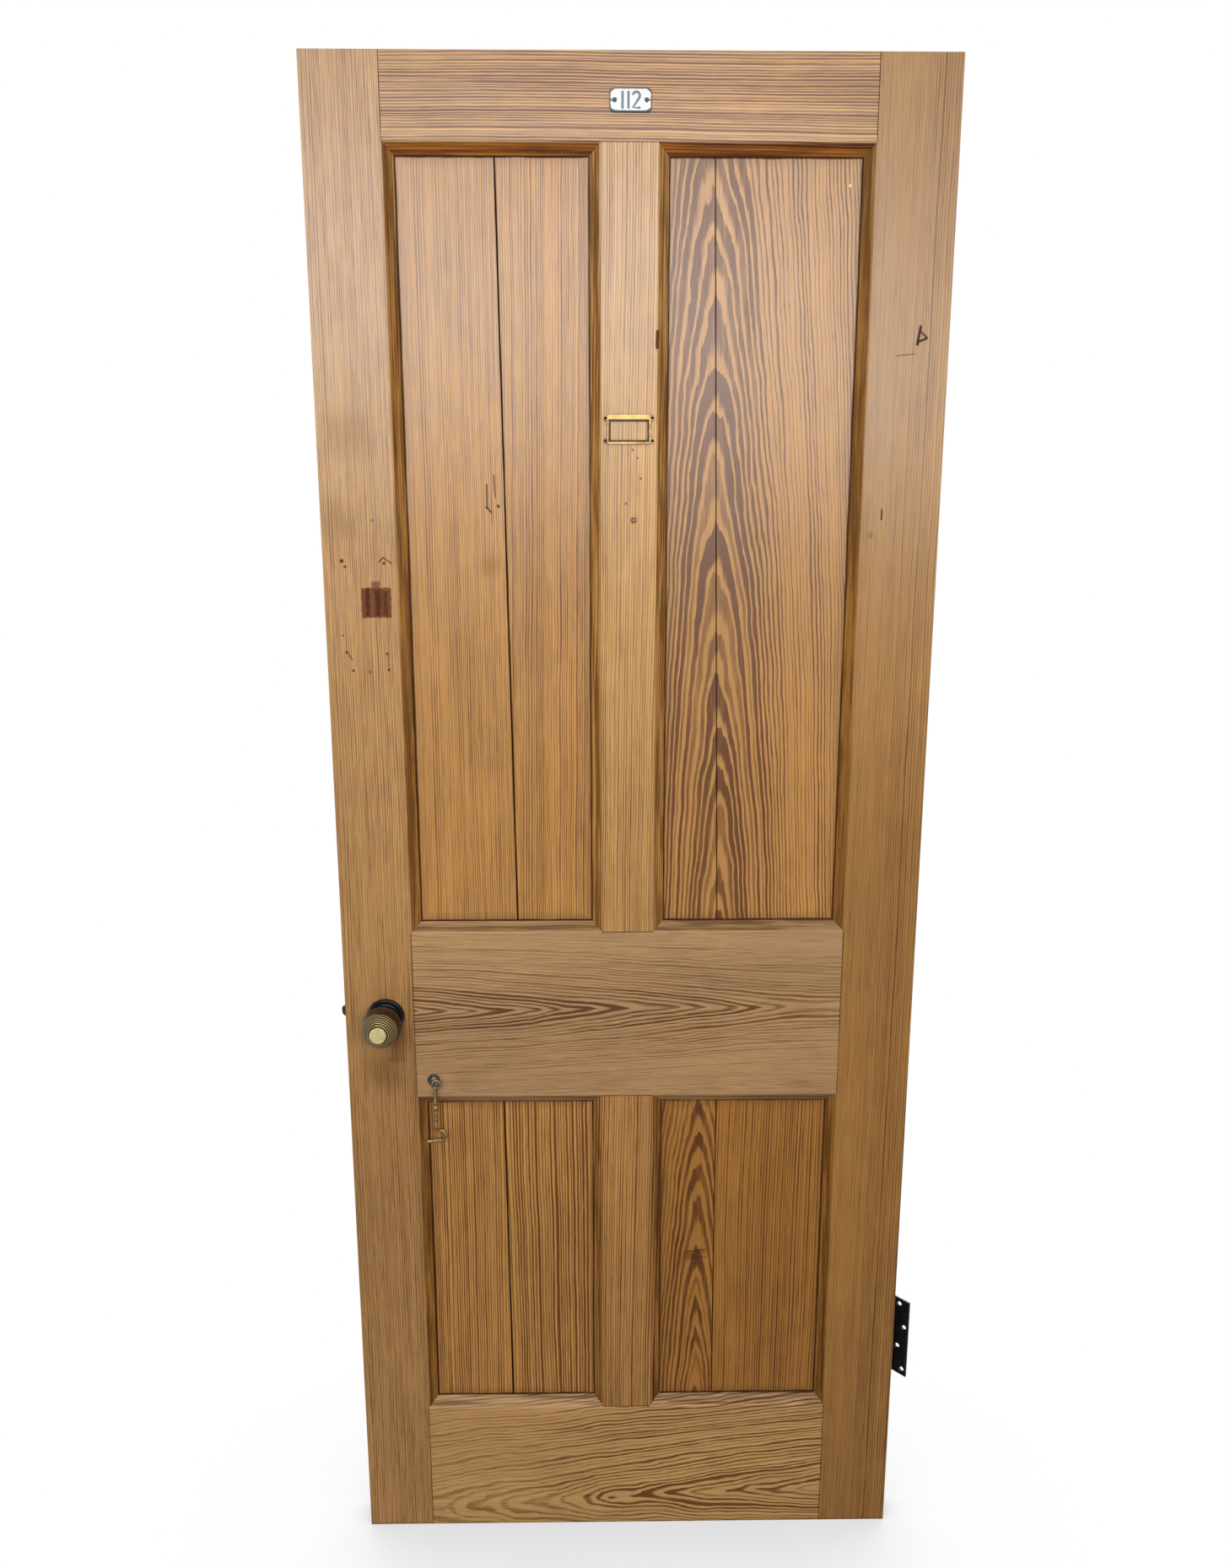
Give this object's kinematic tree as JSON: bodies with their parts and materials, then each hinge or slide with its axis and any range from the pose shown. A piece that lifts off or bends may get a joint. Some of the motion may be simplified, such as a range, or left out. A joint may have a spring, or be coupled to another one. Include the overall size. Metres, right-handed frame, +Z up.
{
  "type": "panelled interior door leaf",
  "caption": "Panelled pine interior door leaf with bevelled framing, reeded brass knobs on a spring latch, butt hinges, cabin hook, number plate and card frame.",
  "frame": {"origin": "middle of the leaf's bottom edge, at mid thickness", "axes": "+Z up the leaf, +X towards the hinges, +Y towards the face on the hinge pins' side; the pictured face looks along -Y"},
  "size_m": [0.8002, 0.17, 1.981],
  "materials": {
    "pine_frame": "satin",
    "pine_panel": "satin",
    "pine_wedge": "matt",
    "knob_brass": "polished, aged",
    "dark_brass": "aged",
    "frame_brass": "aged",
    "black_metal": "satin",
    "black_iron": "matt",
    "steel": "plain",
    "white_enamel": "gloss"
  },
  "bodies": {
    "leaf": {"lock_stile": "pine_frame", "hanging_stile": "pine_frame", "top_rail": "pine_frame", "lock_rail": "pine_frame", "bottom_rail": "pine_frame", "upper_muntin": "pine_frame", "lower_muntin": "pine_frame", "upper_left_board_a": "pine_panel", "upper_left_board_b": "pine_panel", "upper_right_board_a": "pine_panel", "upper_right_board_b": "pine_panel", "lower_left_board_a": "pine_panel", "lower_left_board_b": "pine_panel", "lower_right_board_a": "pine_panel", "lower_right_board_b": "pine_panel", "tenon_wedges": "pine_wedge", "hook_stud": "dark_brass", "hook_cap": "dark_brass", "latch_forend": "dark_brass", "forend_screws": "dark_brass", "card_frame": "frame_brass", "card_frame_pins": "frame_brass", "front_rose": "black_metal", "back_rose": "black_metal", "number_plate_pins": "black_metal", "upper_hinge_door_flap": "black_iron", "upper_hinge_pin": "black_iron", "lower_hinge_door_flap": "black_iron", "lower_hinge_pin": "black_iron", "hinge_screws": "black_iron", "latch_case": "steel", "latch_cap": "steel", "latch_spring": "steel", "front_rose_plate": "steel", "back_rose_plate": "steel", "rose_screws": "steel", "number_plate": "white_enamel"},
    "knobs": {"front_knob": "knob_brass", "back_knob": "knob_brass", "spindle": "steel", "knob_grub_screws": "steel", "latch_follower": "dark_brass"},
    "bolt": {"latch_bolt": "dark_brass"},
    "upper_flap": {"upper_hinge_frame_flap": "black_iron"},
    "lower_flap": {"lower_hinge_frame_flap": "black_iron"},
    "hook": {"cabin_hook": "frame_brass"}
  },
  "joints": [
    {"name": "knob_turn", "type": "hinge", "parent": "leaf", "child": "knobs", "pos_m": [-0.327, 0, 0.807], "axis": [0, 1, 0], "range_deg": [0, 40], "stiffness_Nm_per_rad": 0.25, "springref_deg": -11.46},
    {"name": "latch_slide", "type": "slide", "parent": "leaf", "child": "bolt", "axis": [1, 0, 0], "range_m": [0, 0.0095], "deforming": ["latch_spring"]},
    {"name": "upper_hinge_swing", "type": "hinge", "parent": "leaf", "child": "upper_flap", "pos_m": [0.3835, 0.0235, 1.77], "axis": [0, 0, 1], "range_deg": [-150, 30]},
    {"name": "lower_hinge_swing", "type": "hinge", "parent": "leaf", "child": "lower_flap", "pos_m": [0.3835, 0.0235, 0.287], "axis": [0, 0, 1], "range_deg": [-43, 137]},
    {"name": "hook_swing", "type": "hinge", "parent": "leaf", "child": "hook", "pos_m": [-0.2615, -0.02865, 0.7125], "axis": [0, 1, 0], "range_deg": [-95, 95]}
  ],
  "couplings": [
    {"joint": "latch_slide", "follows": "knob_turn", "m_per_rad": 0.013608}
  ]
}
